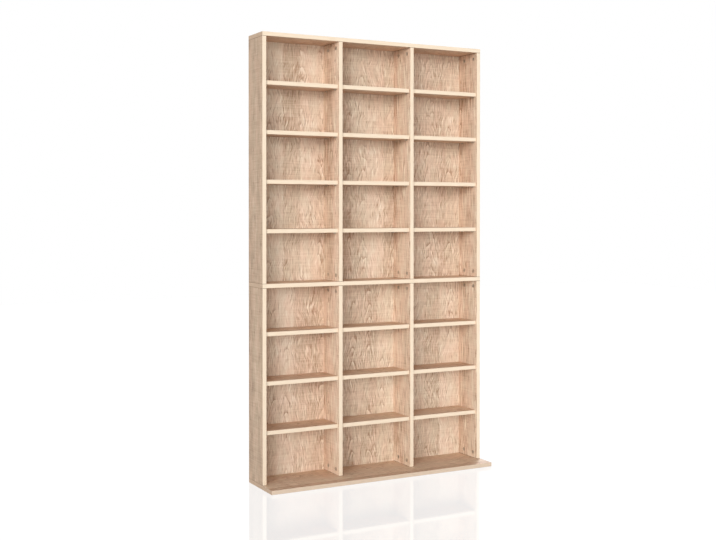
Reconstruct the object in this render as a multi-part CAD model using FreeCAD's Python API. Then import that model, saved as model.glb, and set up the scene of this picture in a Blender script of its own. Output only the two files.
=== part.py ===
import FreeCAD, Part
import math
import os
from collections import namedtuple

# An open media tower: three columns of loose shelves between uprights, in two tiers on a deep base board.
# Lengths are in millimetres. The origin is on the floor, in the middle of the footprint. +Z is up, and the
# open front faces -Y. Left and right are as seen from the front.

# Boards
board_thickness = 16.0
column_width = 317.0
upright_depth = 140.0
lower_height = 768.0
upper_height = 964.0
base_overhang = 88.0
edge_ease = 0.6

# Back panels, on the rear edges of the boards
back_thickness = 3.0
back_margin = 3.0
back_joint = 2.0

# Loose shelves: clear heights under the first and over the last shelf of each tier
shelf_thickness = 16.0
shelf_setback = 8.0
shelf_end_gap = 1.0
shelf_rear_gap = 1.0
lower_first_clear = 193.5
lower_last_clear = 172.5
lower_shelf_count = 3
upper_first_clear = 197.0
upper_last_clear = 172.0
upper_shelf_count = 4

# Shelf pins
pin_radius = 2.5
pin_reach = 8.0
pin_end_space = 1.5
pin_front_inset = 32.0
pin_rear_inset = 28.0

# Cam fittings at both ends of every upright
cam_radius = 7.4
cam_offset = 24.0
cam_floor = 3.5
cam_recess = 0.3
cam_front_inset = 28.0
cam_rear_inset = 42.0
bolt_radius = 3.0
bolt_seat = 11.0
bolt_neck_radius = 2.0
bolt_head_radius = 3.3
bolt_head_length = 3.5

# Dowels, one at each end of every upright
dowel_radius = 4.0
dowel_seat = 10.0
dowel_reach = 20.0

# Fits, and how far a cut runs past the face that it opens
fit_clearance = 0.1
end_clearance = 0.5
overrun = 2.0

# Small round pieces repeat many times, so they and their holes are drawn with a few flats
rod_flat_count = 8
cam_flat_count = 10

# Overall sizes and main planes
upright_names = ("left_side", "left_divider", "right_divider", "right_side")
column_names = ("left", "centre", "right")
overall_width = len(column_names) * column_width + len(upright_names) * board_thickness
overall_depth = base_overhang + upright_depth + back_thickness
overall_height = lower_height + upper_height + 3 * board_thickness
side_plane = -overall_width / 2
base_front = -overall_depth / 2
front_plane = base_front + base_overhang
rear_plane = front_plane + upright_depth

# Places along the depth that the uprights and the boards share
pin_places = (front_plane + pin_front_inset, rear_plane - pin_rear_inset)
bolt_places = (front_plane + cam_front_inset, rear_plane - cam_rear_inset)
dowel_place = sum(bolt_places) / len(bolt_places)

# Sizes of fitted pieces that follow from their boards
pin_seat = board_thickness / 2 - pin_end_space
cam_height = board_thickness - cam_floor - cam_recess - end_clearance
bolt_head_start = cam_offset - bolt_head_length / 2
bolt_head_end = cam_offset + bolt_head_length / 2
bolt_neck_start = cam_offset - cam_radius - end_clearance

X = FreeCAD.Vector(1, 0, 0)
Y = FreeCAD.Vector(0, 1, 0)
Z = FreeCAD.Vector(0, 0, 1)

Tier = namedtuple("Tier", "name bottom height first_clear last_clear shelf_count")
lower = Tier("lower", board_thickness, lower_height, lower_first_clear, lower_last_clear, lower_shelf_count)
middle_bottom = lower.bottom + lower.height
upper_bottom = middle_bottom + board_thickness
upper = Tier("upper", upper_bottom, upper_height, upper_first_clear, upper_last_clear, upper_shelf_count)
top_bottom = upper.bottom + upper.height
tiers = (lower, upper)


def shelf_levels(tier):
    """Undersides of a tier's loose shelves, from the bottom up."""
    room = tier.height - tier.first_clear - tier.last_clear - shelf_thickness
    pitch = room / max(tier.shelf_count - 1, 1)
    return [tier.bottom + tier.first_clear + pitch * row for row in range(tier.shelf_count)]


def upright_left(index):
    """Left face of an upright, counted from the left side."""
    return side_plane + index * (board_thickness + column_width)


def upright_middle(index):
    """Middle of an upright's thickness."""
    return upright_left(index) + board_thickness / 2


def column_left(column):
    """Left wall of a column."""
    return upright_left(column) + board_thickness


def column_right(column):
    """Right wall of a column."""
    return upright_left(column + 1)


def cam_face(index):
    """Where an upright's cams open, and the way into the board: the left side opens inwards, the rest left."""
    if index == 0:
        return column_left(index), -X
    return upright_left(index), X


def rod(start, direction, radius, length, flats=rod_flat_count):
    """Bar along X or Z with its flats at the given radius, one of them facing up where it lies."""
    up = direction.cross(Y)
    corner = radius / math.cos(math.pi / flats)
    points = []
    for step in range(flats):
        angle = (2 * step + 1) * math.pi / flats
        points.append(start + Y * (corner * math.cos(angle)) + up * (corner * math.sin(angle)))
    outline = Part.makePolygon(points + points[:1])
    return Part.Face(outline).extrude(direction * length)


def box(one, other):
    """Block between two opposite corners."""
    low = FreeCAD.Vector(*map(min, one, other))
    high = FreeCAD.Vector(*map(max, one, other))
    size = high - low
    return Part.makeBox(size.x, size.y, size.z, low)


def hole(mouth, direction, radius, depth, flats=rod_flat_count):
    """Blind hole for a rod of the given radius and depth, cut from beyond its mouth."""
    length = overrun + depth + end_clearance
    return rod(mouth - direction * overrun, direction, radius + fit_clearance, length, flats)


def board(corner, depth, across, along):
    """Board with its long front edges eased, from the front corner of its section: across by depth, then along."""
    ease = across * (edge_ease / across.Length)
    front = Y * edge_ease
    rear = Y * depth
    points = [
        corner + ease,
        corner + front,
        corner + rear,
        corner + rear + across,
        corner + front + across,
        corner + across - ease,
    ]
    section = Part.Face(Part.makePolygon(points + points[:1]))
    return section.extrude(along)


def fitted_board(front, bottom, face, into, bolt_depth, dowel_depth):
    """Full-width board, drilled from one face for the bolts and dowels of the uprights."""
    corner = FreeCAD.Vector(side_plane, front, bottom)
    solid = board(corner, rear_plane - front, Z * board_thickness, X * overall_width)
    holes = []
    for index in range(len(upright_names)):
        x = upright_middle(index)
        holes += [hole(FreeCAD.Vector(x, y, face), into, bolt_radius, bolt_depth) for y in bolt_places]
        holes.append(hole(FreeCAD.Vector(x, dowel_place, face), into, dowel_radius, dowel_depth))
    return solid.cut(holes)


def ends(tier):
    """Both ends of a tier's uprights, each with the way into the upright."""
    return (tier.bottom, Z), (tier.bottom + tier.height, -Z)


def end_bores(index, tier):
    """Pockets for the cams and bores for the bolts and dowels at both ends of an upright."""
    face, inward = cam_face(index)
    middle = upright_middle(index)
    bores = []
    for end, into in ends(tier):
        for y in bolt_places:
            pocket_mouth = FreeCAD.Vector(face, y, end) + into * cam_offset
            bores.append(hole(pocket_mouth, inward, cam_radius, cam_recess + cam_height, cam_flat_count))
            bores.append(hole(FreeCAD.Vector(middle, y, end), into, bolt_head_radius, bolt_head_end))
        bores.append(hole(FreeCAD.Vector(middle, dowel_place, end), into, dowel_radius, dowel_reach))
    return bores


def pin_holes(index, tier):
    """Holes for the shelf pins: blind in the two sides, right through the dividers."""
    if index == 0:
        mouth, direction, depth = column_left(index), -X, pin_seat
    elif index == len(column_names):
        mouth, direction, depth = upright_left(index), X, pin_seat
    else:
        mouth, direction, depth = upright_left(index), X, board_thickness + overrun
    holes = []
    for level in shelf_levels(tier):
        for y in pin_places:
            holes.append(hole(FreeCAD.Vector(mouth, y, level - pin_radius), direction, pin_radius, depth))
    return holes


def upright(index, tier):
    """One upright of a tier, drilled for its pins and end fittings."""
    corner = FreeCAD.Vector(upright_left(index), front_plane, tier.bottom)
    solid = board(corner, upright_depth, X * board_thickness, Z * tier.height)
    return solid.cut(pin_holes(index, tier) + end_bores(index, tier))


def shelf(column, level):
    """Loose shelf that lies on its pins between two uprights."""
    corner = FreeCAD.Vector(column_left(column) + shelf_end_gap, front_plane + shelf_setback, level)
    depth = upright_depth - shelf_setback - shelf_rear_gap
    return board(corner, depth, Z * shelf_thickness, X * (column_width - 2 * shelf_end_gap))


def shelf_pins(column):
    """Four pins under each loose shelf of a column, pushed into the uprights on both sides."""
    pins = []
    walls = ((column_left(column), X), (column_right(column), -X))
    for level in shelf_levels(lower) + shelf_levels(upper):
        for wall, outward in walls:
            for y in pin_places:
                start = FreeCAD.Vector(wall, y, level - pin_radius) - outward * pin_seat
                pins.append(rod(start, outward, pin_radius, pin_seat + pin_reach))
    return Part.makeCompound(pins)


def cam_lock(index, y, end, into):
    """Cam drum: its jaws reach round the bolt's neck, and its hollow holds the bolt's head."""
    face, inward = cam_face(index)
    drum_start = FreeCAD.Vector(face, y, end) + into * cam_offset + inward * cam_recess
    drum = rod(drum_start, inward, cam_radius, cam_height, cam_flat_count)
    centre = FreeCAD.Vector(upright_middle(index), y, end) + into * cam_offset
    beyond = centre + inward * cam_height
    head_room = bolt_head_radius + fit_clearance
    head_half = bolt_head_length / 2 + fit_clearance
    neck_room = bolt_neck_radius + fit_clearance
    hollow = box(
        centre - inward * head_room - Y * head_room - into * head_half,
        beyond + Y * head_room + into * head_half,
    )
    jaw_gap = box(
        centre - inward * neck_room - Y * neck_room,
        beyond + Y * neck_room - into * (cam_radius + overrun),
    )
    return drum.cut([hollow, jaw_gap])


def cam_locks(tier):
    """All cams of a tier's uprights."""
    cams = []
    for index in range(len(upright_names)):
        for end, into in ends(tier):
            cams += [cam_lock(index, y, end, into) for y in bolt_places]
    return Part.makeCompound(cams)


def bolt(foot, into, seat):
    """Bolt that stands in a board's face: shank, narrow neck for the cam's jaws, and head."""
    shank = rod(foot - into * seat, into, bolt_radius, seat + bolt_neck_start)
    neck = rod(foot + into * bolt_neck_start, into, bolt_neck_radius, bolt_head_start - bolt_neck_start)
    head = rod(foot + into * bolt_head_start, into, bolt_head_radius, bolt_head_length)
    return shank.fuse([neck, head]).removeSplitter()


def double_bolt(x, y):
    """Bolt right through the middle board, with a neck and head at both ends."""
    seat = board_thickness / 2
    rising = bolt(FreeCAD.Vector(x, y, upper.bottom), Z, seat)
    hanging = bolt(FreeCAD.Vector(x, y, middle_bottom), -Z, seat)
    return rising.fuse(hanging).removeSplitter()


def at_uprights(make, places):
    """One piece for each place along the depth of each upright, as a group."""
    pieces = []
    for index in range(len(upright_names)):
        pieces += [make(upright_middle(index), y) for y in places]
    return Part.makeCompound(pieces)


def base_bolt(x, y):
    """Bolt in the base board's upper face."""
    return bolt(FreeCAD.Vector(x, y, lower.bottom), Z, bolt_seat)


def top_bolt(x, y):
    """Bolt in the top board's underside."""
    return bolt(FreeCAD.Vector(x, y, top_bottom), -Z, bolt_seat)


def dowel(x, y, low, high):
    """Upright dowel between two levels."""
    return rod(FreeCAD.Vector(x, y, low), Z, dowel_radius, high - low)


def base_dowel(x, y):
    """Dowel between the base board and a lower upright."""
    return dowel(x, y, lower.bottom - dowel_seat, lower.bottom + dowel_reach)


def middle_dowel(x, y):
    """Dowel through the middle board, between a lower and an upper upright."""
    return dowel(x, y, middle_bottom - dowel_reach, upper.bottom + dowel_reach)


def top_dowel(x, y):
    """Dowel between an upper upright and the top board."""
    return dowel(x, y, top_bottom - dowel_reach, top_bottom + dowel_seat)


def back_panel(column, tier):
    """Thin panel over the back of one column of a tier, with its joints behind the dividers and middle board."""
    left = upright_middle(column) + back_joint / 2
    right = upright_middle(column + 1) - back_joint / 2
    bottom = tier.bottom - board_thickness / 2 + back_joint / 2
    top = tier.bottom + tier.height + board_thickness / 2 - back_joint / 2
    if column == 0:
        left = side_plane + back_margin
    if column + 1 == len(column_names):
        right = -side_plane - back_margin
    if tier is lower:
        bottom = back_margin
    if tier is upper:
        top = overall_height - back_margin
    low = FreeCAD.Vector(left, rear_plane, bottom)
    return box(low, FreeCAD.Vector(right, rear_plane + back_thickness, top))


def all_nodes():
    """Every piece or group of like pieces, by name."""
    through = board_thickness + overrun
    nodes = {
        "base_board": fitted_board(base_front, 0, lower.bottom, -Z, bolt_seat, dowel_seat),
        "middle_board": fitted_board(front_plane, middle_bottom, upper.bottom, -Z, through, through),
        "top_board": fitted_board(front_plane, top_bottom, top_bottom, Z, bolt_seat, dowel_seat),
        "cam_bolts_base": at_uprights(base_bolt, bolt_places),
        "cam_bolts_middle": at_uprights(double_bolt, bolt_places),
        "cam_bolts_top": at_uprights(top_bolt, bolt_places),
        "dowels_base": at_uprights(base_dowel, [dowel_place]),
        "dowels_middle": at_uprights(middle_dowel, [dowel_place]),
        "dowels_top": at_uprights(top_dowel, [dowel_place]),
    }
    for tier in tiers:
        nodes["cam_locks_" + tier.name] = cam_locks(tier)
        for index, name in enumerate(upright_names):
            nodes[name + "_" + tier.name] = upright(index, tier)
        for column, name in enumerate(column_names):
            nodes["back_panel_" + name + "_" + tier.name] = back_panel(column, tier)
    for column, name in enumerate(column_names):
        nodes["shelf_pins_" + name] = shelf_pins(column)
        for number, level in enumerate(shelf_levels(lower) + shelf_levels(upper), start=1):
            nodes["shelf_" + name + "_" + str(number)] = shelf(column, level)
    return nodes


os.makedirs("parts", exist_ok=True)
for node, shape in all_nodes().items():
    shape.exportStep(os.path.join("parts", node + ".step"))
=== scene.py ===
"""Dresses the media tower: oak-look boards, cream edging, plated fittings and a white studio.

Lengths are in metres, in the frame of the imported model: +Z is up and the open front faces -Y.
"""

import logging
import math
from dataclasses import dataclass, replace
from enum import Enum
from typing import Iterable, Iterator, Sequence, Union

import bmesh
import bpy
from mathutils import Euler, Matrix, Vector


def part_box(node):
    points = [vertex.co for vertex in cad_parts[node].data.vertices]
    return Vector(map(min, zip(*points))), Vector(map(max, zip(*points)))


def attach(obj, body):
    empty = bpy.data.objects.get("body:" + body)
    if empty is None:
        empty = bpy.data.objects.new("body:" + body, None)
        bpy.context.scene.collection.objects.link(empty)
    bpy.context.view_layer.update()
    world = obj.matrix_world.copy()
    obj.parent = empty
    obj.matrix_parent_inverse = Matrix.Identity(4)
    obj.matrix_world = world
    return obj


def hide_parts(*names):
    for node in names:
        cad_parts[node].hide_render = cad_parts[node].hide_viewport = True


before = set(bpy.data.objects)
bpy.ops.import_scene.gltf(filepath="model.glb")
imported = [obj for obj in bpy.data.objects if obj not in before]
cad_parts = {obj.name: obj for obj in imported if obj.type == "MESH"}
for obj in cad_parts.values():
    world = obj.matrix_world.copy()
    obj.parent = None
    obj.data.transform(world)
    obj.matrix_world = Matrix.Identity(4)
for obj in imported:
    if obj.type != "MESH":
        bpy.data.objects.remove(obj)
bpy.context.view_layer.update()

log = logging.getLogger("media_tower")

CARCASS = "carcass"
COLUMNS = ("left", "centre", "right")
TIERS = ("lower", "upper")
UPRIGHTS = ("left_side", "left_divider", "right_divider", "right_side")
SHELF_LEVELS = range(1, 8)
MM = 0.001
SMOOTH_ANGLE = math.radians(40)

Colour = tuple[float, float, float, float]
Pair = tuple[float, float]
Steps = tuple[Pair, ...]
Operand = Union["Field", float]
WHITE: Colour = (1.0, 1.0, 1.0, 1.0)


def shade(red: int, green: int, blue: int) -> Colour:
    """Turns a display colour into the linear colour that shaders take.

    Args:
        red: Red, from 0 to 255.
        green: Green, from 0 to 255.
        blue: Blue, from 0 to 255.

    Returns:
        The linear colour with full alpha.
    """
    channels = []
    for value in (red, green, blue):
        share = value / 255
        channels.append(share / 12.92 if share <= 0.04045 else ((share + 0.055) / 1.055) ** 2.4)
    return (*channels, 1.0)


class Field:
    """One output of a shader node, which takes part in Python arithmetic."""

    def __init__(self, graph: "Graph", socket: bpy.types.NodeSocket) -> None:
        """Keeps the socket and the graph that new nodes join."""
        self.graph = graph
        self.socket = socket

    def __add__(self, other: Operand) -> "Field":
        """Sum with a field or a number."""
        return self.graph.math("ADD", self, other)

    __radd__ = __add__

    def __sub__(self, other: Operand) -> "Field":
        """Difference from a field or a number."""
        return self.graph.math("SUBTRACT", self, other)

    def __rsub__(self, other: float) -> "Field":
        """Difference of a number on the left."""
        return self.graph.math("SUBTRACT", other, self)

    def __mul__(self, other: Operand) -> "Field":
        """Product with a field or a number."""
        return self.graph.math("MULTIPLY", self, other)

    __rmul__ = __mul__

    def __truediv__(self, other: Operand) -> "Field":
        """Quotient by a field or a number."""
        return self.graph.math("DIVIDE", self, other)

    def __gt__(self, other: Operand) -> "Field":
        """One where this field is the greater, and zero elsewhere."""
        return self.graph.math("GREATER_THAN", self, other)

    def floor(self) -> "Field":
        """Whole part."""
        return self.graph.math("FLOOR", self)

    def fraction(self) -> "Field":
        """Part after the point."""
        return self.graph.math("FRACT", self)

    def rise(self, low: float, high: float) -> "Field":
        """Smooth step from zero at low to one at high."""
        inputs = {"Value": self, "From Min": low, "From Max": high}
        return self.graph.node("ShaderNodeMapRange", {"interpolation_type": "SMOOTHSTEP"}, inputs)

    def between(self, low: float, high: float) -> "Field":
        """Value that runs from low, where this field is zero, to high, where it is one."""
        return low + self * (high - low)


class Graph:
    """The node tree of one material or world under construction."""

    def __init__(self, tree: bpy.types.NodeTree, end: str = "ShaderNodeOutputMaterial") -> None:
        """Empties the tree and adds its output node.

        Args:
            tree: The node tree to build in.
            end: The type of the output node.
        """
        self.tree = tree
        self.tree.nodes.clear()
        self.end = self.tree.nodes.new(end)

    def node(self, kind: str, settings: dict, inputs: dict, output: Union[int, str] = 0) -> Field:
        """Makes any node.

        Args:
            kind: The node's type.
            settings: The node's own settings, set first; stops are the colour stops of a ramp.
            inputs: Values or fields, by the socket's name or number.
            output: The socket to give back, by name or number.

        Returns:
            The field of that output.
        """
        made = self.tree.nodes.new(kind)
        for name, value in settings.items():
            if name == "stops":
                self._set_stops(made.color_ramp.elements, value)
            else:
                setattr(made, name, value)
        for key, value in inputs.items():
            if isinstance(value, Field):
                self.tree.links.new(value.socket, made.inputs[key])
            else:
                made.inputs[key].default_value = value
        return Field(self, made.outputs[output])

    @staticmethod
    def _set_stops(elements: bpy.types.ColorRampElements, stops: Sequence[tuple[float, Colour]]) -> None:
        """Gives a ramp its stops.

        Args:
            elements: The ramp's elements, two at first.
            stops: Positions and colours, in order.
        """
        while len(elements) < len(stops):
            elements.new(1.0)
        for element, (position, colour) in zip(elements, stops):
            element.position = position
            element.color = colour

    def math(self, operation: str, *values: Operand) -> Field:
        """Math node on fields and numbers."""
        return self.node("ShaderNodeMath", {"operation": operation}, dict(enumerate(values)))

    def mix(self, share: Operand, one: Union[Field, Colour], other: Union[Field, Colour],
            blend: str = "MIX") -> Field:
        """Blend of two colours, from one where the share is 0 to the other where it is 1."""
        settings = {"data_type": "RGBA", "blend_type": blend}
        return self.node("ShaderNodeMix", settings, {0: share, 6: one, 7: other}, 2)

    def ramp(self, place: Field, stops: Sequence[tuple[float, Colour]]) -> Field:
        """Colour along a ramp of stops."""
        return self.node("ShaderNodeValToRGB", {"stops": stops}, {0: place})

    def place(self) -> tuple[Field, Field, Field]:
        """The point's X, Y and Z in the object's own frame."""
        point = self.node("ShaderNodeTexCoord", {}, {}, "Object")
        return tuple(self.node("ShaderNodeSeparateXYZ", {}, {0: point}, axis) for axis in "XYZ")

    def dice(self, x: Operand, y: Operand) -> tuple[Field, Field, Field]:
        """Three random numbers from 0 to 1 for each pair of whole numbers.

        Args:
            x: First whole number.
            y: Second whole number.

        Returns:
            The three numbers.
        """
        cell = self.node("ShaderNodeCombineXYZ", {}, {0: x, 1: y})
        colour = self.node("ShaderNodeTexWhiteNoise", {"noise_dimensions": "2D"}, {"Vector": cell}, "Color")
        return tuple(self.node("ShaderNodeSeparateColor", {}, {0: colour}, channel) for channel in range(3))

    def seen(self) -> Field:
        """Finds the rays that show the studio itself, straight on, mirrored or through glass.

        Returns:
            One for those rays, and zero for the rest.
        """
        rays = [
            self.node("ShaderNodeLightPath", {}, {}, name)
            for name in ("Is Camera Ray", "Is Glossy Ray", "Is Transmission Ray")
        ]
        return self.math("MAXIMUM", self.math("MAXIMUM", rays[0], rays[1]), rays[2])

    def finish(self, shader: Field) -> None:
        """Feeds a shader to the output."""
        self.tree.links.new(shader.socket, self.end.inputs["Surface"])


@dataclass(frozen=True)
class Surface:
    """What one layer of a finish gives the shader: colour, roughness and relief from 0 to 1."""

    colour: Field
    roughness: Field
    relief: Field

    def covered(self, cover: "Surface", share: Field) -> "Surface":
        """Lays another layer over this one.

        Args:
            cover: The upper layer.
            share: Where the upper layer shows, from 0 to 1.

        Returns:
            The layers together.
        """
        graph = self.colour.graph
        return Surface(
            graph.mix(share, self.colour, cover.colour),
            self.roughness + (cover.roughness - self.roughness) * share,
            self.relief + (cover.relief - self.relief) * share,
        )


@dataclass(frozen=True)
class Layer:
    """One layer of noise in a finish.

    Attributes:
        waves: How many waves there are to one unit of each coordinate.
        window: The two values between which the noise is stretched from zero to one, if it is.
        seed: What is added to the third coordinate.
        detail: How many finer layers of noise are added.
        weight: How far the layer moves the colour, or the rings that it bends.
        rough: How far it moves the roughness.
        relief: How far it moves the relief.
    """

    waves: tuple[float, float, float]
    window: tuple[float, ...] = ()
    seed: float = 0.0
    detail: float = 1.0
    weight: float = 0.0
    rough: float = 0.0
    relief: float = 0.0

    def over(self, *place: Operand) -> Field:
        """Spreads the layer over a surface.

        Args:
            *place: Three coordinates, the first of them a field.

        Returns:
            The layer's value, which is about one half where it isn't stretched.
        """
        graph = place[0].graph
        x, y, z = (value * count for value, count in zip(place, self.waves))
        point = graph.node("ShaderNodeCombineXYZ", {}, {0: x, 1: y, 2: z + self.seed})
        inputs = {"Vector": point, "Scale": 1.0, "Detail": self.detail}
        noise = graph.node("ShaderNodeTexNoise", {}, inputs)
        return noise.rise(*self.window) if self.window else noise


@dataclass(frozen=True)
class Finish:
    """A finish that can be made into a material: its layers start from its roughness and relief level."""

    metallic: float = 0.0
    specular: float = 0.3
    roughness: float = 0.6
    level: float = 0.6
    relief_depth: float = 0.1 * MM
    relief_strength: float = 0.5

    def surface(self, graph: Graph) -> Surface:
        """Builds the finish's colour, roughness and relief."""
        raise NotImplementedError

    def material(self, name: str) -> bpy.types.Material:
        """Makes the material.

        Args:
            name: The material's name.

        Returns:
            The material with its node tree.
        """
        material = bpy.data.materials.new(name)
        material.use_nodes = True
        graph = Graph(material.node_tree)
        surface = self.surface(graph)
        bump = {"Strength": self.relief_strength, "Distance": self.relief_depth, "Height": surface.relief}
        sockets = {
            "Base Color": surface.colour,
            "Roughness": surface.roughness,
            "Metallic": self.metallic,
            "Specular IOR Level": self.specular,
            "Normal": graph.node("ShaderNodeBump", {}, bump),
        }
        graph.finish(graph.node("ShaderNodeBsdfPrincipled", {}, sockets))
        return material


@dataclass(frozen=True)
class Layered(Finish):
    """A finish whose layers of noise mix two colours, and add to its roughness and relief level."""

    base: Colour = WHITE
    marks: Colour = WHITE
    layers: tuple[Layer, ...] = ()
    window: tuple[float, ...] = ()

    def surface(self, graph: Graph) -> Surface:
        """Lays the finish over the whole piece."""
        return self.over(*graph.place())

    def over(self, *place: Operand) -> Surface:
        """Lays the finish over any coordinates.

        Args:
            *place: Three coordinates, the first of them a field.

        Returns:
            The finish's colour, roughness and relief.
        """
        share, roughness, relief = 0.0, self.roughness, self.level
        for layer in self.layers:
            value = layer.over(*place)
            share = share + value * layer.weight
            roughness = roughness + value * layer.rough
            relief = relief + value * layer.relief
        if self.window:
            share = share.rise(*self.window)
        return Surface(place[0].graph.mix(share, self.base, self.marks), roughness, relief)


@dataclass(frozen=True)
class Plated(Layered):
    """Plated or cast metal with dull patches and fine scratches."""

    metallic: float = 1.0
    roughness: float = 0.24
    level: float = 0.5
    relief_depth: float = 0.02 * MM
    base: Colour = shade(212, 210, 206)
    marks: Colour = shade(150, 148, 144)
    layers: tuple[Layer, ...] = (
        Layer((700.0, 700.0, 700.0), (0.35, 0.7), detail=3.0, weight=0.7, rough=0.18),
        Layer((5200.0, 900.0, 5200.0), (0.5, 0.8), weight=0.2, rough=0.1, relief=-0.4),
    )


@dataclass(frozen=True)
class Beech(Layered):
    """Plain turned beech with fine fibres and short dark flecks."""

    base: Colour = shade(222, 186, 142)
    marks: Colour = shade(176, 132, 92)
    layers: tuple[Layer, ...] = (
        Layer((1500.0, 1500.0, 60.0), detail=2.0, weight=0.5, rough=0.15),
        Layer((2600.0, 2600.0, 420.0), (0.6, 0.75), weight=0.4, relief=-0.4),
    )


class Tone(Enum):
    """The foil's print for a group of faces: its deep, middle and pale display colours. The copies are
    lighter or darker for how light falls there: painted light on the cells' inner faces and backs, painted
    shade on the tower's outer faces, and partly painted shade on the lying boards.
    """

    BACKING = ((169, 136, 110), (229, 206, 182), (253, 235, 217))
    UPRIGHT = ((168, 134, 107), (227, 202, 177), (250, 233, 212))
    LYING = ((159, 119, 91), (217, 182, 153), (240, 211, 187))
    OUTER_SHADED = ((132, 106, 86), (187, 161, 136), (217, 193, 170))

    def stops(self) -> tuple[tuple[float, Colour], ...]:
        """The print's colours as stops of a ramp."""
        return tuple((step / 2, shade(*colour)) for step, colour in enumerate(self.value))


class Grain(Enum):
    """How a board lies: the axes along the grain, across it and through the board."""

    STANDING = "zyx"
    LYING = "xyz"
    BACKING = "zxy"

    def axes(self, graph: Graph) -> tuple[Field, Field, Field]:
        """The point's place along, across and through the board."""
        place = dict(zip("xyz", graph.place()))
        return tuple(place[axis] for axis in self.value)


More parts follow.
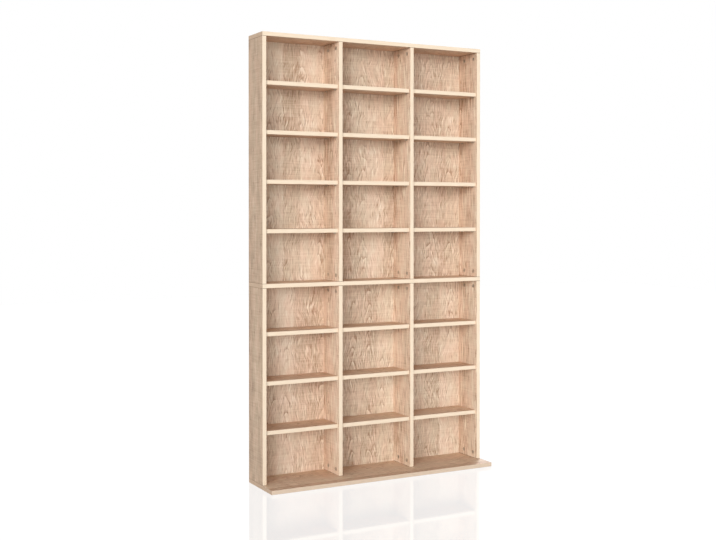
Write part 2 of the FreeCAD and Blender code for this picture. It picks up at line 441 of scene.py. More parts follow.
@dataclass(frozen=True)
class OakFoil(Finish):
    """Printed oak foil: joined planks with arched figure, wandering fibres, pores and saw marks."""

    roughness: float = 0.52
    grain: Grain = Grain.STANDING
    tone: Tone = Tone.UPRIGHT
    seed: float = 0.0
    outer_shaded_tone: Tone = Tone.OUTER_SHADED
    outer_face: float = 1.0
    outer_calm: float = 0.55
    outer_mottle: float = 0.13
    outer_saw: float = 0.2
    straw: Colour = shade(244, 250, 249)
    rosy: Colour = shade(253, 246, 246)
    least_warmth: float = 0.08
    plank_warmth: float = 0.3
    deep_warmth: float = 0.5
    sheet_depth: float = 25 * MM
    sheet_dice: float = 3.0
    sheet_slip: float = 4.0
    plank_slip: float = 6.0
    plank_width: float = 78 * MM
    plank_contrast: float = 0.26
    middle: float = 0.0
    shade_drift: float = 0.0
    ring_length: float = 60 * MM
    arch: float = 12.0
    apex_spread: float = 1.6
    apex_sway: float = 0.3
    early_end: float = 0.4
    late_start: float = 0.65
    late_weight: float = 0.16
    stroke_weight: float = -0.3
    stroke_relief: float = -0.2
    least_vigour: float = 0.2
    least_stroke: float = 0.35
    least_dash: float = 0.4
    line_strength: Pair = (0.5, 1.05)
    figure: float = 1.26
    fibre_width: float = 4 * MM
    fibre_length: float = 38 * MM
    wander: float = 45 * MM
    lean: float = 0.16
    plumb_apex: float = 0.3
    sway: Layer = Layer((2.4, 15.0, 3.7), detail=2.0, weight=2.5)
    ripple: Layer = Layer((16.0, 45.0, 1.3), weight=0.8)
    vigour: Layer = Layer((6.0, 12.0, 1.0), (0.4, 0.64), seed=3.0)
    breaks: Layer = Layer((26.0, 760.0, 1.0), (0.38, 0.62))
    bends: Layer = Layer((12.0, 10.0, 1.0), seed=5.0)
    dashes: Layer = Layer((1.0, 1.0, 1.0), (0.48, 0.74), weight=-0.46, relief=-0.3)
    flecks: Layer = Layer((0.8, 0.8, 1.0), (0.5, 0.75), seed=9.0, weight=0.4)
    streaks: Layer = Layer((5.0, 0.35, 1.0), seed=5.0, weight=0.26)
    pores: Layer = Layer((90.0, 1100.0, 1.0), (0.55, 0.75), weight=-0.14, rough=0.12, relief=-0.5)
    saw: Layer = Layer((190.0, 10.0, 1.0), weight=0.36, relief=0.4)
    clouds: Layer = Layer((1.6, 8.0, 1.0), weight=0.4, rough=0.2)
    patches: Layer = Layer((13.0, 26.0, 1.0), (0.35, 0.65), seed=7.0, weight=0.4)

    def surface(self, graph: Graph) -> Surface:
        """Builds the foil's print.

        Args:
            graph: The material's graph.

        Returns:
            The foil's colour, roughness and relief.
        """
        # The planks of each sheet of foil, and their own depth of tone, arch and warmth.
        along, across, through = self.grain.axes(graph)
        sheet = (through / self.sheet_depth).floor() + self.seed
        slip, start, _ = graph.dice(sheet, self.sheet_dice)
        along = along + start * self.sheet_slip
        strip = across / self.plank_width + slip * self.plank_slip
        plank = strip.floor()
        depth, apex, warmth = graph.dice(plank, sheet)

        # Growth rings in arches, with broken early strokes and pale late ones.
        sway = self.sway.over(along, across, plank)
        ripple = self.ripple.over(along, across, plank)
        offset = strip.fraction() - 0.5 + (apex - 0.5) * self.apex_spread + (sway - 0.5) * self.apex_sway
        rings = along / self.ring_length + offset * offset * self.arch
        phase = (rings + sway * self.sway.weight + ripple * self.ripple.weight).fraction()
        vigour = self.least_vigour + self.vigour.over(along, across, sheet)
        broken = self.breaks.over(along, across, plank)
        strokes = (1.0 - phase.rise(0.0, self.early_end)) * vigour * broken.between(self.least_stroke, 1.0)
        late = phase.rise(self.late_start, 1.0) * vigour

        # Fibres that wander and lean, as dark dashes, pale flecks and broad streaks.
        bend = (self.bends.over(along, across, sheet) - 0.5) * self.wander
        slant = along * (apex - self.plumb_apex) * self.lean
        fibre = (across + bend - slant) / self.fibre_width
        run = along / self.fibre_length
        dashes = self.dashes.over(run, fibre, plank) * broken.between(self.least_dash, 1.0)
        flecks = self.flecks.over(run, fibre, plank)
        streaks = self.streaks.over(along, fibre, plank) - 0.5
        pores = self.pores.over(along, across, plank)

        # Marks and tones over the whole sheet, a painted shade that slopes across it, and where the tower's
        # outer faces are.
        saw = self.saw.over(along, across, sheet) - 0.5
        cloud = self.clouds.over(along, across, sheet) - 0.5
        patches = self.patches.over(along, across, sheet)
        # Painted shade: the print's lightness slopes across the board; on the uprights it darkens towards
        # the cells' rear corners.
        shade_drift = (across - self.middle) * self.shade_drift
        outside = graph.math("ABSOLUTE", graph.place()[0]) > self.outer_face

        # The print's place between its deep and pale colours, and its tint.
        light = 0.5 + (depth - 0.5) * self.plank_contrast + cloud * self.clouds.weight
        light = light + streaks * self.streaks.weight + shade_drift
        lines = flecks * self.flecks.weight + dashes * self.dashes.weight
        lines = lines * vigour.between(*self.line_strength) + late * self.late_weight
        lines = (lines + strokes * self.stroke_weight) * (1.0 - outside * self.outer_calm)
        mottle = (patches - 0.5) * outside * self.outer_mottle
        sawn = saw * (1.0 + outside * self.outer_saw) * self.saw.weight
        light = light + lines * self.figure + mottle + sawn + pores * self.pores.weight
        warm = self.least_warmth + warmth * self.plank_warmth + patches * self.patches.weight
        tint = graph.mix(warm + (0.5 - light) * self.deep_warmth, self.straw, self.rosy)
        # Painted light and shade: the inner faces take a lighter copy of the print, the tower's outer faces
        # a darker one.
        inner, outer = (graph.ramp(light, tone.stops()) for tone in (self.tone, self.outer_shaded_tone))
        colour = graph.mix(1.0, graph.mix(outside, inner, outer), tint, "MULTIPLY")

        roughness = self.roughness + cloud * self.clouds.rough + pores * self.pores.rough
        relief = self.level + saw * self.saw.relief + strokes * self.stroke_relief
        relief = relief + dashes * self.dashes.relief + pores * self.pores.relief
        return Surface(colour, roughness, relief)


RUBS = Layer((160.0, 160.0, 1.0), (0.55, 0.8), seed=4.0)


@dataclass(frozen=True)
class EdgedBoard(OakFoil):
    """Oak foil with cream edging on the front, oak-look ends, and dark lines where an upright is joined,
    which are the joint's own dark core and painted shadow of its gap.

    The end, foot and head lie beyond the tower by default, for boards that have none.
    """

    front: float = 0.0
    end: float = 1.0
    foot: float = -1.0
    head: float = 3.0
    edging: float = 0.8 * MM
    glue_line: float = 0.25 * MM
    joint_line: float = 1.2 * MM
    end_roughness: float = 0.45
    end_lines: Layer = Layer((30.0, 900.0, 1.0), detail=2.0, rough=0.2)
    cream: Layered = Layered(
        base=shade(239, 221, 197), marks=shade(228, 204, 175), roughness=0.42,
        layers=(
            Layer((22.0, 420.0, 1.0), (0.4, 0.75), weight=0.6, relief=-0.2),
            replace(RUBS, weight=0.15, rough=0.2, relief=-0.2),
        ),
    )
    glue: Layered = Layered(
        base=shade(150, 118, 92), marks=shade(228, 204, 175), roughness=0.7, level=0.2,
        layers=(replace(RUBS, weight=0.3, rough=0.1, relief=0.1),),
    )
    core_and_gap_shade: Layered = Layered(
        base=shade(112, 88, 68), marks=shade(150, 118, 92), roughness=0.8, level=0.0,
        layers=(replace(RUBS, weight=0.5, rough=0.1, relief=1.0),),
    )

    def surface(self, graph: Graph) -> Surface:
        """Covers the front and the ends of the foiled board with their edgings.

        Args:
            graph: The material's graph.

        Returns:
            The colour, roughness and relief of the whole board.
        """
        x, y, z = graph.place()
        along, _, through = self.grain.axes(graph)
        coats = (self.cream, self.glue, self.core_and_gap_shade)
        cream, glue, core_and_gap_shade = (coat.over(along, through, self.seed) for coat in coats)
        lines = self.end_lines.over(y, z, self.seed)
        roughness = self.end_roughness + lines * self.end_lines.rough
        # The ends take the outer faces' darker copy of the print, as painted shade.
        ending = Surface(graph.ramp(lines, self.outer_shaded_tone.stops()), roughness, lines)
        board = super().surface(graph).covered(ending, graph.math("ABSOLUTE", x) > self.end)
        depth = y - self.front
        glued = board.covered(glue, 1.0 - (depth > self.edging + self.glue_line))
        edged = glued.covered(cream, 1.0 - (depth > self.edging))
        # Painted shadow: dark lines at the uprights' ends, for the joint's core and the shade in the gap
        # between boards.
        clear = (z > self.foot + self.joint_line) - (z > self.head - self.joint_line)
        return edged.covered(core_and_gap_shade, 1.0 - clear)


@dataclass(frozen=True)
class BackingBoard(OakFoil):
    """Thin fibreboard with oak foil on its inner face and a raw brown rear."""

    rear: float = 0.0
    skin: float = 0.4 * MM
    raw: Layered = Layered(
        base=shade(146, 112, 82), marks=shade(180, 145, 112), roughness=0.75, level=0.0,
        window=(0.3, 1.0),
        layers=(
            Layer((420.0, 420.0, 420.0), detail=3.0, weight=0.6, rough=0.15, relief=1.0),
            Layer((9.0, 9.0, 9.0), detail=3.0, weight=0.6),
        ),
    )

    def surface(self, graph: Graph) -> Surface:
        """Shows the raw rear behind the foil."""
        behind = graph.place()[1] > self.rear - self.skin
        return super().surface(graph).covered(self.raw.surface(graph), behind)


def dress(nodes: Iterable[str], finish: Finish, name: str) -> Iterator[bpy.types.Object]:
    """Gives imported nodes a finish.

    Args:
        nodes: The nodes' names.
        finish: The finish that they share.
        name: The material's name.

    Yields:
        Each dressed object.
    """
    material = finish.material(name)
    for node in nodes:
        wear(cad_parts[node], material)
        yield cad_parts[node]


def wear(piece: bpy.types.Object, material: bpy.types.Material) -> None:
    """Puts a material on a whole piece."""
    piece.data.materials.clear()
    piece.data.materials.append(material)


def fit(piece: bpy.types.Object, material: bpy.types.Material, slot: str, *nodes: str) -> bpy.types.Object:
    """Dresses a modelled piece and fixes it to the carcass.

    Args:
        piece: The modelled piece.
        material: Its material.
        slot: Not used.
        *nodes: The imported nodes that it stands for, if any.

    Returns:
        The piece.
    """
    wear(piece, material)
    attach(piece, CARCASS)
    if nodes:
        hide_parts(*nodes)
    return piece


class End(Enum):
    """The two ends of a turned blank."""

    TOP = 1.0
    BOTTOM = -1.0


class Blank:
    """A round blank about the Z axis, shaped with modelling operators."""

    def __init__(self, name: str, radius: float, low: float, high: float, sides: int) -> None:
        """Adds the blank with nothing else selected, and opens it for editing.

        Args:
            name: The blank's name.
            radius: The radius of the blank.
            low: The height of its lower face.
            high: The height of its upper face.
            sides: How many flats make the round.
        """
        bpy.ops.object.select_all(action="DESELECT")
        bpy.ops.mesh.primitive_cylinder_add(
            vertices=sides, radius=radius, depth=high - low, location=(0, 0, (low + high) / 2)
        )
        bpy.ops.object.transform_apply()
        self.piece = bpy.context.object
        self.piece.name = name
        self.sides = sides
        self.end = End.TOP
        bpy.ops.object.mode_set(mode="EDIT")
        bpy.ops.mesh.select_mode(type="FACE")

    def pick(self, end: End) -> None:
        """Selects the outermost flat face at one end.

        Args:
            end: The end to work on from here.
        """
        self.end = end
        bpy.ops.mesh.select_all(action="DESELECT")
        mesh = bmesh.from_edit_mesh(self.piece.data)
        outermost = max(mesh.faces, key=lambda face: face.calc_center_median().z * end.value)
        outermost.select_set(True)
        bmesh.update_edit_mesh(self.piece.data)

    def inset(self, width: float, rise: float = 0.0) -> None:
        """Insets the picked face and moves it outwards by the rise."""
        bpy.ops.mesh.inset(thickness=width, depth=rise)

    def taper(self, steps: Steps, radius: float, height: float) -> None:
        """Insets the picked face in steps, with widths as shares of the radius and rises of the height."""
        for width_share, rise_share in steps:
            self.inset(radius * width_share, height * rise_share)

    def extrude(self, length: float) -> None:
        """Draws the picked face out by a length."""
        shift = (0, 0, length * self.end.value)
        bpy.ops.mesh.extrude_region_move(TRANSFORM_OT_translate={"value": shift})

    def spread(self, share: float) -> None:
        """Widens or narrows what is selected about the axis."""
        bpy.ops.transform.resize(value=(share, share, 1), center_override=(0, 0, 0))

    def thread(self, length: float, pitch: float, share: float) -> None:
        """Draws the picked face out as a row of V-shaped grooves.

        Args:
            length: About how long the thread is.
            pitch: How far apart the grooves are.
            share: The radius at the root of a groove, as a share of the outer radius.
        """
        for _ in range(round(length / pitch)):
            self.extrude(pitch / 2)
            self.spread(share)
            self.extrude(pitch / 2)
            self.spread(1 / share)

    def flute(self, share: float) -> None:
        """Draws every second line of the widest part in towards the axis.

        Args:
            share: The radius at the bottom of a flute, as a share of the outer radius.
        """
        bpy.ops.mesh.select_mode(type="VERT")
        bpy.ops.mesh.select_all(action="DESELECT")
        mesh = bmesh.from_edit_mesh(self.piece.data)
        widest = max(vertex.co.xy.length for vertex in mesh.verts)
        for vertex in mesh.verts:
            line = round(math.atan2(vertex.co.y, vertex.co.x) / math.tau * self.sides)
            vertex.select_set(line % 2 == 1 and vertex.co.xy.length > widest * share)
        bmesh.update_edit_mesh(self.piece.data)
        self.spread(share)

    def smooth(self) -> None:
        """Closes the editing and shades the round sides smooth."""
        bpy.ops.object.mode_set(mode="OBJECT")
        bpy.ops.object.shade_smooth_by_angle(angle=SMOOTH_ANGLE)

    def ease(self, width: float, segments: int = 2) -> None:
        """Rounds the sharp edges and shades the round sides smooth.

        Args:
            width: The width of the rounding.
            segments: How many flats it has.
        """
        bpy.ops.object.mode_set(mode="OBJECT")
        bevel = self.piece.modifiers.new("eased_edges", "BEVEL")
        bevel.width = width
        bevel.segments = segments
        bevel.limit_method = "ANGLE"
        bpy.ops.object.modifier_apply(modifier=bevel.name)
        self.smooth()

    def cut(self, start: float, stop: float, width: float, floor: float, top: float) -> None:
        """Cuts a slot along X, centred on the axis.

        Args:
            start: Where the slot starts.
            stop: Where the slot stops.
            width: The slot's width.
            floor: The height of the slot's floor.
            top: The height of the slot's top.
        """
        bpy.ops.object.mode_set(mode="OBJECT")
        bpy.ops.object.select_all(action="DESELECT")
        bpy.ops.mesh.primitive_cube_add(
            size=1, location=((start + stop) / 2, 0, (floor + top) / 2),
            scale=(stop - start, width, top - floor),
        )
        cutter = bpy.context.object
        self.piece.select_set(True)
        bpy.context.view_layer.objects.active = self.piece
        slot = self.piece.modifiers.new("slot", "BOOLEAN")
        slot.object = cutter
        slot.operation = "DIFFERENCE"
        bpy.ops.object.modifier_apply(modifier=slot.name)
        bpy.data.objects.remove(cutter)

    def copies(self, name: str, places: Iterable[Matrix]) -> bpy.types.Object:
        """Sets a copy with its own mesh at each place and joins them into one piece.

        Args:
            name: The joined piece's name.
            places: Where the copies go.

        Returns:
            The joined piece; the blank is gone.
        """
        bpy.ops.object.select_all(action="DESELECT")
        for place in places:
            copy = self.piece.copy()
            copy.data = self.piece.data.copy()
            copy.data.transform(place)
            bpy.context.scene.collection.objects.link(copy)
            copy.select_set(True)
            bpy.context.view_layer.objects.active = copy
        bpy.data.objects.remove(self.piece)
        bpy.ops.object.join()
        joined = bpy.context.object
        joined.name = name
        joined.data.name = name
        return joined


class Heading(Enum):
    """Which way a turned piece's upper end points once it is placed."""

    RIGHT = (0.0, math.pi / 2, 0.0)
    LEFT = (0.0, -math.pi / 2, 0.0)
    REAR = (-math.pi / 2, 0.0, 0.0)
    UP = (0.0, 0.0, 0.0)
    DOWN = (math.pi, 0.0, 0.0)

    def at(self, x: float, y: float, z: float) -> Matrix:
        """The place of a copy that points this way."""
        return Matrix.Translation((x, y, z)) @ Euler(self.value).to_matrix().to_4x4()


@dataclass
class LevelBoards:
    """The base, middle and top boards, which run the full width."""

    level_foil: EdgedBoard = EdgedBoard(grain=Grain.LYING, tone=Tone.LYING, seed=41.0)
    base_seed: float = 40.0
    # Painted shade: the base's edging is darker than the other boards', for the shade near the floor.
    base_shaded_cream: Colour = shade(218, 197, 175)
    base_shaded_streak: Colour = shade(203, 181, 157)

    def build(self) -> Iterator[bpy.types.Object]:
        """Dresses the three boards.

        Yields:
            Each dressed board.
        """
        level = self.level_foil
        cream = replace(level.cream, base=self.base_shaded_cream, marks=self.base_shaded_streak)
        glue = replace(level.glue, marks=self.base_shaded_streak)
        base = replace(level, seed=self.base_seed, cream=cream, glue=glue)
        groups = {"oak_base": (base, ["base_board"]), "oak_level": (level, ["middle_board", "top_board"])}
        for name, (foil, nodes) in groups.items():
            low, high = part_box(nodes[-1])
            yield from dress(nodes, replace(foil, front=low.y, end=high.x - foil.edging), name)


@dataclass
class Uprights:
    """The two sides and two dividers of each tier."""

    # Its print darkens towards the rear, a painted shade of the cells' rear corners.
    foil: EdgedBoard = EdgedBoard(
        plank_width=50 * MM, plank_contrast=0.18, fibre_width=7 * MM, fibre_length=70 * MM, figure=1.38,
        wander=15 * MM, lean=0.06, shade_drift=-0.8, straw=shade(245, 248, 247), rosy=shade(254, 244, 243),
    )
    foil_depth: float = 1 * MM
    first_seed: float = 85.0
    tier_seed: float = 56.0

    def build(self) -> Iterator[bpy.types.Object]:
        """Dresses the uprights tier by tier.

        Yields:
            Each dressed upright.
        """
        for number, tier in enumerate(TIERS):
            nodes = [f"{upright}_{tier}" for upright in UPRIGHTS]
            low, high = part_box(nodes[0])
            finish = replace(
                self.foil, seed=self.first_seed + self.tier_seed * number, middle=(low.y + high.y) / 2,
                outer_face=-low.x - self.foil_depth, front=low.y, foot=low.z, head=high.z,
            )
            yield from dress(nodes, finish, f"oak_upright_{tier}")


@dataclass
class LooseShelves:
    """The loose shelves of the three columns."""

    foil: EdgedBoard = EdgedBoard(grain=Grain.LYING, tone=Tone.LYING, plank_width=70 * MM)
    first_seed: float = 200.0
    column_seed: float = 90.0

    def build(self) -> Iterator[bpy.types.Object]:
        """Dresses the shelves column by column.

        Yields:
            Each dressed shelf.
        """
        for number, column in enumerate(COLUMNS):
            nodes = [f"shelf_{column}_{level}" for level in SHELF_LEVELS]
            seed = self.first_seed + self.column_seed * number
            finish = replace(self.foil, seed=seed, front=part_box(nodes[0])[0].y)
            yield from dress(nodes, finish, f"oak_shelf_{column}")


@dataclass
class BackPanels:
    """The thin back panels and the nails that hold them."""

    foil: BackingBoard = BackingBoard(grain=Grain.BACKING, tone=Tone.BACKING)
    steel: Plated = Plated(roughness=0.35)
    first_seed: float = 321.0
    tier_seed: float = 81.0
    nail_pitch: float = 150 * MM
    nail_inset: float = 5 * MM
    nail_sides: int = 12
    head_radius: float = 2.4 * MM
    head_height: float = 0.5 * MM
    disc_share: float = 0.5
    crown_steps: Steps = ((0.35, 0.35), (0.3, 0.15))
    shank_radius: float = 0.7 * MM
    shank_length: float = 17 * MM
    point_steps: Steps = ((0.7, 2.0),)
    ease_share: float = 0.1

    def build(self) -> Iterator[bpy.types.Object]:
        """Dresses the panels and drives the nails.

        Yields:
            Each dressed panel, then the nails.
        """
        for number, tier in enumerate(TIERS):
            nodes = [f"back_panel_{column}_{tier}" for column in COLUMNS]
            seed = self.first_seed + self.tier_seed * number
            finish = replace(self.foil, seed=seed, rear=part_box(nodes[0])[1].y)
            yield from dress(nodes, finish, f"oak_back_{tier}")
        nails = self.forge_nail().copies("back_nails", self.nail_places())
        yield fit(nails, self.steel.material("nail_steel"), "bolt_steel")

    def nail_places(self) -> Iterator[Matrix]:
        """Places along the edges of every panel, with the heads to the rear.

        Yields:
            The place of each nail.
        """
        for tier in TIERS:
            for column in COLUMNS:
                low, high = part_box(f"back_panel_{column}_{tier}")
                left, right = low.x + self.nail_inset, high.x - self.nail_inset
                bottom, top = low.z + self.nail_inset, high.z - self.nail_inset
                rows = round((top - bottom) / self.nail_pitch)
                for row in range(rows + 1):
                    z = bottom + (top - bottom) * row / rows
                    yield Heading.REAR.at(left, high.y, z)
                    yield Heading.REAR.at(right, high.y, z)
                for z in (bottom, top):
                    yield Heading.REAR.at((left + right) / 2, high.y, z)

    def forge_nail(self) -> Blank:
        """Models one nail.

        Returns:
            The nail, with the underside of its head at zero and the head upwards.
        """
        nail = Blank("nail", self.head_radius, 0.0, self.head_height * self.disc_share, self.nail_sides)
        nail.pick(End.TOP)
        nail.taper(self.crown_steps, self.head_radius, self.head_height)
        nail.pick(End.BOTTOM)
        nail.inset(self.head_radius - self.shank_radius)
        nail.extrude(self.shank_length)
        nail.taper(self.point_steps, self.shank_radius, self.shank_radius)
        nail.ease(self.shank_radius * self.ease_share, 1)
        return nail


@dataclass
class ShelfPins:
    """The plated pins that the loose shelves rest on."""

    nickel: Plated = Plated(metallic=0.85, base=shade(214, 204, 188), marks=shade(168, 156, 140))
    sides: int = 24
    radius: float = 2.5 * MM
    seat: float = 6.5 * MM
    reach: float = 8.0 * MM
    nose_steps: Steps = ((0.3, 0.3), (0.3, 0.1))
    tail_steps: Steps = ((0.4, 0.5),)
    collar_radius: float = 4.0 * MM
    collar_thickness: float = 0.7 * MM
    ease_share: float = 0.25
    front_inset: float = 32 * MM
    rear_inset: float = 28 * MM

    def build(self) -> Iterator[bpy.types.Object]:
        """Turns the pins of each column, which stand for the plain ones.

        Yields:
            The pins of each column.
        """
        metal = self.nickel.material("pin_nickel")
        for number, column in enumerate(COLUMNS):
            pins = self.turn_pin().copies(f"support_pins_{column}", self.places(number, column))
            yield fit(pins, metal, "pin_metal", f"shelf_pins_{column}")

    def turn_pin(self) -> Blank:
        """Models one pin: a collar against the wall, a peg in it and a peg under the shelf.

        Returns:
            The pin, with its collar on the wall plane and the bearing peg upwards.
        """
        pin = Blank("pin", self.collar_radius, 0.0, self.collar_thickness, self.sides)
        bearing = (End.TOP, self.reach - self.collar_thickness, self.nose_steps)
        seated = (End.BOTTOM, self.seat, self.tail_steps)
        for end, length, steps in (bearing, seated):
            pin.pick(end)
            pin.inset(self.collar_radius - self.radius)
            pin.extrude(length - self.radius * sum(rise_share for _, rise_share in steps))
            pin.taper(steps, self.radius, self.radius)
        pin.ease(self.collar_thickness * self.ease_share)
        return pin

    def places(self, number: int, column: str) -> Iterator[Matrix]:
        """Places under every shelf of a column, on both of its walls.

        Args:
            number: The column's number from the left.
            column: The column's name.

        Yields:
            The place of each pin.
        """
        for level in SHELF_LEVELS:
            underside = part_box(f"shelf_{column}_{level}")[0].z
            z = underside - self.radius
            low, wall_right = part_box(f"{UPRIGHTS[number]}_lower")
            wall_left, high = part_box(f"{UPRIGHTS[number + 1]}_lower")
            for y in (low.y + self.front_inset, high.y - self.rear_inset):
                yield Heading.RIGHT.at(wall_right.x, y, z)
                yield Heading.LEFT.at(wall_left.x, y, z)


class Joint(Enum):
    """The levels at which uprights are joined: the board there and the way its bolts point."""

    BASE = ("base_board", Heading.UP)
    MIDDLE = ("middle_board", Heading.UP)
    TOP = ("top_board", Heading.DOWN)

    def face(self) -> float:
        """The height from which the bolts and dowels are measured."""
        low, high = (corner.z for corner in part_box(self.value[0]))
        return {Joint.BASE: high, Joint.MIDDLE: (low + high) / 2, Joint.TOP: low}[self]

    def half(self) -> float:
        """Half the board's thickness where uprights stand on both of its faces, else zero."""
        low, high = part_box(self.value[0])
        return (high.z - low.z) / 2 if self is Joint.MIDDLE else 0.0


@dataclass
class CamFittings:
    """The cam locks of the knock-down joints, with the bolts and dowels that go with them."""

    zinc: Plated = Plated(
        metallic=0.7, roughness=0.42, base=shade(206, 192, 174), marks=shade(164, 146, 126)
    )
    drum_sides: int = 32
    drum_radius: float = 7.3 * MM
    rim_radius: float = 8.1 * MM
    rim_proud: float = 0.5 * MM
    rim_ease_share: float = 0.3
    dish_steps: Steps = ((0.16, 0.0), (0.08, -0.8), (0.3, -0.2))
    recess_arm_share: float = 0.55
    recess_blade_share: float = 0.1
    recess_depth_share: float = 0.4
    drum_height: float = 11.5 * MM
    drum_clearance: float = 0.1 * MM
    end_offset: float = 24 * MM
    front_inset: float = 28 * MM
    rear_inset: float = 42 * MM
    bolt_sides: int = 20
    bolt_radius: float = 3.0 * MM
    bolt_seat: float = 11 * MM
    neck_radius: float = 2.0 * MM
    neck_start: float = 16.1 * MM
    head_radius: float = 3.3 * MM
    head_length: float = 3.5 * MM
    head_chamfer_share: float = 0.2
    thread_pitch: float = 1.6 * MM
    thread_root: float = 0.8
    thread_point_share: float = 0.4
    dowel_sides: int = 32
    dowel_radius: float = 4.0 * MM
    dowel_seat: float = 10 * MM
    dowel_reach: float = 20 * MM
    dowel_tip: float = 0.8 * MM
    flute_root: float = 0.92

    def build(self) -> Iterator[bpy.types.Object]:
        """Models the cams, bolts and dowels, which stand for the plain ones.

        Yields:
            The cams of each tier, then the bolts and dowels of each level.
        """
        cast = self.zinc.material("cam_zinc")
        steel = Plated().material("bolt_plating")
        beech = Beech().material("dowel_beech")
        for tier in TIERS:
            cams = self.cast_cam().copies(f"cam_drums_{tier}", self.cam_places(tier))
            yield fit(cams, cast, "cam_metal", f"cam_locks_{tier}")
        for joint in Joint:
            level = joint.name.lower()
            bolts = self.turn_bolt(joint).copies(f"joint_bolts_{level}", self.rod_places(joint, True))
            yield fit(bolts, steel, "bolt_steel", f"cam_bolts_{level}")
            dowels = self.turn_dowel(joint).copies(f"joint_dowels_{level}", self.rod_places(joint, False))
            yield fit(dowels, beech, "dowel_beech", f"dowels_{level}")

    def cast_cam(self) -> Blank:
        """Models one cam: a drum with a thin rim, a dished face, a cross recess and jaws for the bolt.

        Returns:
            The cam, with its rim on the board's face, the dished face upwards and the jaws towards +X.
        """
        cam = Blank("cam", self.rim_radius, 0.0, self.rim_proud, self.drum_sides)
        cam.pick(End.BOTTOM)
        cam.inset(self.rim_radius - self.drum_radius)
        cam.extrude(self.drum_height)
        cam.pick(End.TOP)
        cam.taper(self.dish_steps, self.rim_radius, self.rim_proud)
        cam.ease(self.rim_proud * self.rim_ease_share)
        arm = self.rim_radius * self.recess_arm_share
        blade = self.rim_radius * self.recess_blade_share
        floor = -self.rim_radius * self.recess_depth_share
        for half_length, half_width in ((arm, blade), (blade, arm)):
            cam.cut(-half_length, half_length, 2 * half_width, floor, self.rim_radius)
        low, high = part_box("left_side_lower")
        axis = (low.x - high.x) / 2
        head = self.head_length / 2 + self.drum_clearance
        beyond = self.drum_radius * 2
        for start, stop, radius in ((-head, head, self.head_radius), (0.0, beyond, self.neck_radius)):
            room = radius + self.drum_clearance
            cam.cut(start, stop, 2 * room, -beyond, axis + room)
        return cam

    def turn_bolt(self, joint: Joint) -> Blank:
        """Models one bolt: a screw-in one, or one with a head at both ends for the middle board.

        Args:
            joint: The level that the bolt is for.

        Returns:
            The bolt, with the joint's face at zero and a head upwards.
        """
        half = joint.half()
        reach = half + self.neck_start
        bolt = Blank("bolt", self.bolt_radius, -reach if half else 0.0, reach, self.bolt_sides)
        bolt.pick(End.TOP)
        self.form_head(bolt)
        bolt.pick(End.BOTTOM)
        if half:
            self.form_head(bolt)
        else:
            bolt.thread(self.bolt_seat - self.thread_pitch, self.thread_pitch, self.thread_root)
            bolt.inset(self.bolt_radius * self.thread_point_share, self.thread_pitch / 2)
        bolt.smooth()
        return bolt

    def form_head(self, bolt: Blank) -> None:
        """Draws a neck and a head out of a bolt.

        Args:
            bolt: The bolt, with the end that gets the head picked.
        """
        bolt.inset(self.bolt_radius - self.neck_radius)
        bolt.extrude(self.end_offset - self.head_length / 2 - self.neck_start)
        bolt.extrude(0.0)
        bolt.spread(self.head_radius / self.neck_radius)
        chamfer = self.head_length * self.head_chamfer_share
        bolt.extrude(self.head_length - chamfer)
        bolt.inset(chamfer, chamfer)

    def turn_dowel(self, joint: Joint) -> Blank:
        """Models one fluted dowel with chamfered ends.

        Args:
            joint: The level that the dowel is for.

        Returns:
            The dowel, with the joint's face at zero.
        """
        half = joint.half()
        top = half + self.dowel_reach - self.dowel_tip
        bottom = -top if half else self.dowel_tip - self.dowel_seat
        dowel = Blank("dowel", self.dowel_radius, bottom, top, self.dowel_sides)
        for end in End:
            dowel.pick(end)
            dowel.inset(self.dowel_tip, self.dowel_tip)
        dowel.flute(self.flute_root)
        dowel.smooth()
        return dowel

    def rod_places(self, joint: Joint, bolts: bool) -> Iterator[Matrix]:
        """Places in the middle of every upright's end at one level.

        Args:
            joint: The level.
            bolts: Whether the two places of the bolts are asked for, or the one of the dowel.

        Yields:
            The place of each bolt or dowel.
        """
        heading = joint.value[1]
        for upright in UPRIGHTS:
            low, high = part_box(f"{upright}_lower")
            rows = [low.y + self.front_inset, high.y - self.rear_inset]
            for y in rows if bolts else [sum(rows) / len(rows)]:
                yield heading.at((low.x + high.x) / 2, y, joint.face())

    def cam_places(self, tier: str) -> Iterator[Matrix]:
        """Places near both ends of every upright, on the face that the fitter reaches.

        Args:
            tier: The tier's name.

        Yields:
            The place of each cam.
        """
        for upright in UPRIGHTS:
            low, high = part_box(f"{upright}_{tier}")
            heading, x = (Heading.RIGHT, high.x) if upright == "left_side" else (Heading.LEFT, low.x)
            for z, down in ((low.z + self.end_offset, True), (high.z - self.end_offset, False)):
                turn = 0.0 if down == (heading is Heading.RIGHT) else math.pi
                for y in (low.y + self.front_inset, high.y - self.rear_inset):
                    yield heading.at(x, y, z) @ Matrix.Rotation(turn, 4, "Z")


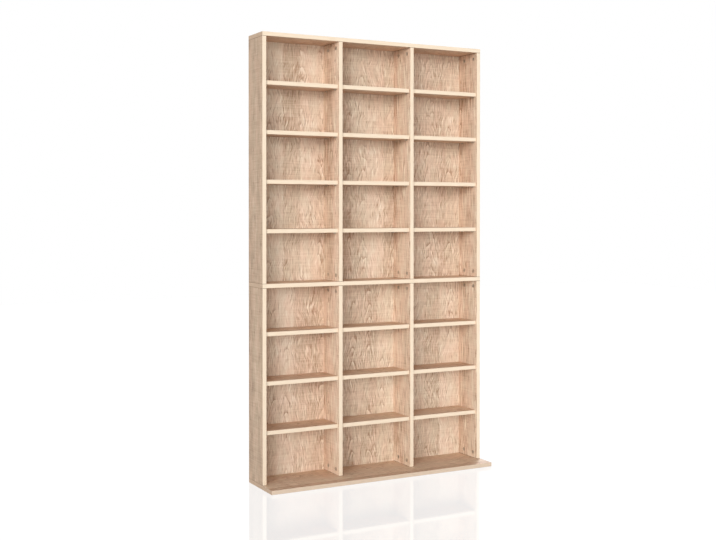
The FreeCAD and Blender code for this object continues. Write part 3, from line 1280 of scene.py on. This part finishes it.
@dataclass
class Studio:
    """The white floor and world, the lamps and the camera."""

    floor_half: float = 9.0
    floor_drop: float = 0.5 * MM
    floor_mirror: float = 0.26
    mirror_roughness: float = 0.04
    floor_shadow: float = 0.1
    floor_glow: float = 1.12
    floor_bare: float = 0.8
    ambient: float = 0.52
    lamp_spread: float = 22.0
    front_level: float = 0.385
    front_lamps: tuple[Pair, ...] = ((32.0, 7.0), (48.0, 15.0))
    rear_level: float = 0.5
    rear_lamp: Pair = (225.0, 25.0)
    image_width: float = 716.0
    image_height: float = 540.0
    focal_pixels: float = 1099.4
    optical_row: float = 222.0
    sensor: float = 36.0
    eye: Vector = Vector((-2.1875, -3.9592, 1.0828))
    camera_yaw: float = -28.096
    camera_pitch: float = -0.559

    def build(self) -> None:
        """Sets up everything that isn't part of the tower."""
        bpy.context.scene.view_settings.view_transform = "Standard"
        self.lay_floor()
        self.light_world()
        for turn, height in self.front_lamps:
            self.hang_lamp("front_lamp", self.front_level, turn, height)
        self.hang_lamp("rear_lamp", self.rear_level, *self.rear_lamp)
        self.set_camera()

    def lay_floor(self) -> None:
        """Lays a white floor that keeps a soft shadow and a faint mirror image."""
        bpy.ops.object.select_all(action="DESELECT")
        bpy.ops.mesh.primitive_plane_add(size=2 * self.floor_half, location=(0, 0, -self.floor_drop))
        floor = bpy.context.object
        floor.name = "studio_floor"
        material = bpy.data.materials.new("studio_white")
        material.use_nodes = True
        graph = Graph(material.node_tree)
        plain = (self.floor_bare, self.floor_bare, self.floor_bare, 1.0)
        bare = graph.node("ShaderNodeBsdfDiffuse", {}, {"Color": plain})
        glow = graph.node("ShaderNodeEmission", {}, {"Color": WHITE, "Strength": self.floor_glow})
        mirror = graph.node("ShaderNodeBsdfGlossy", {}, {"Color": WHITE, "Roughness": self.mirror_roughness})
        shown = graph.node("ShaderNodeMixShader", {}, {0: self.floor_mirror, 1: glow, 2: mirror})
        shown = graph.node("ShaderNodeMixShader", {}, {0: self.floor_shadow, 1: shown, 2: bare})
        graph.finish(graph.node("ShaderNodeMixShader", {}, {0: graph.seen(), 1: bare, 2: shown}))
        wear(floor, material)

    def light_world(self) -> None:
        """Makes a world that looks white and lights the tower evenly."""
        world = bpy.data.worlds.new("studio")
        bpy.context.scene.world = world
        world.use_nodes = True
        graph = Graph(world.node_tree, "ShaderNodeOutputWorld")
        strength = graph.seen() * (1.0 - self.ambient) + self.ambient
        graph.finish(graph.node("ShaderNodeBackground", {}, {"Color": WHITE, "Strength": strength}))

    def hang_lamp(self, name: str, level: float, turn: float, height: float) -> None:
        """Hangs one broad soft lamp far away.

        Args:
            name: The lamp's name.
            level: How bright a white surface that faces the lamp looks.
            turn: How many degrees it stands from the front towards the left.
            height: How many degrees it stands above the floor.
        """
        lamp = bpy.data.lights.new(name, "SUN")
        lamp.energy = level * math.pi
        lamp.angle = math.radians(self.lamp_spread)
        hung = bpy.data.objects.new(name, lamp)
        hung.rotation_euler = (math.radians(90.0 - height), 0.0, math.radians(-turn))
        bpy.context.scene.collection.objects.link(hung)

    def set_camera(self) -> None:
        """Sets the camera at the photograph's place, lens and framing."""
        lens = bpy.data.cameras.new("photo_camera")
        lens.sensor_width = self.sensor
        lens.lens = self.focal_pixels / self.image_width * self.sensor
        lens.shift_y = (self.optical_row - self.image_height / 2) / self.image_width
        camera = bpy.data.objects.new("photo_camera", lens)
        camera.location = self.eye
        camera.rotation_euler = (
            math.radians(90.0 + self.camera_pitch), 0.0, math.radians(self.camera_yaw)
        )
        bpy.context.scene.collection.objects.link(camera)
        bpy.context.scene.camera = camera


def main() -> None:
    """Builds the sub-assemblies in order and reports each piece."""
    logging.basicConfig(level=logging.INFO, format="%(name)s: %(message)s")
    assemblies = (
        LevelBoards(), Uprights(), LooseShelves(), BackPanels(), ShelfPins(), CamFittings()
    )
    for assembly in assemblies:
        for piece in assembly.build():
            log.info("%s: %s, %d faces", type(assembly).__name__, piece.name, len(piece.data.polygons))
    Studio().build()


if __name__ == "__main__":
    main()
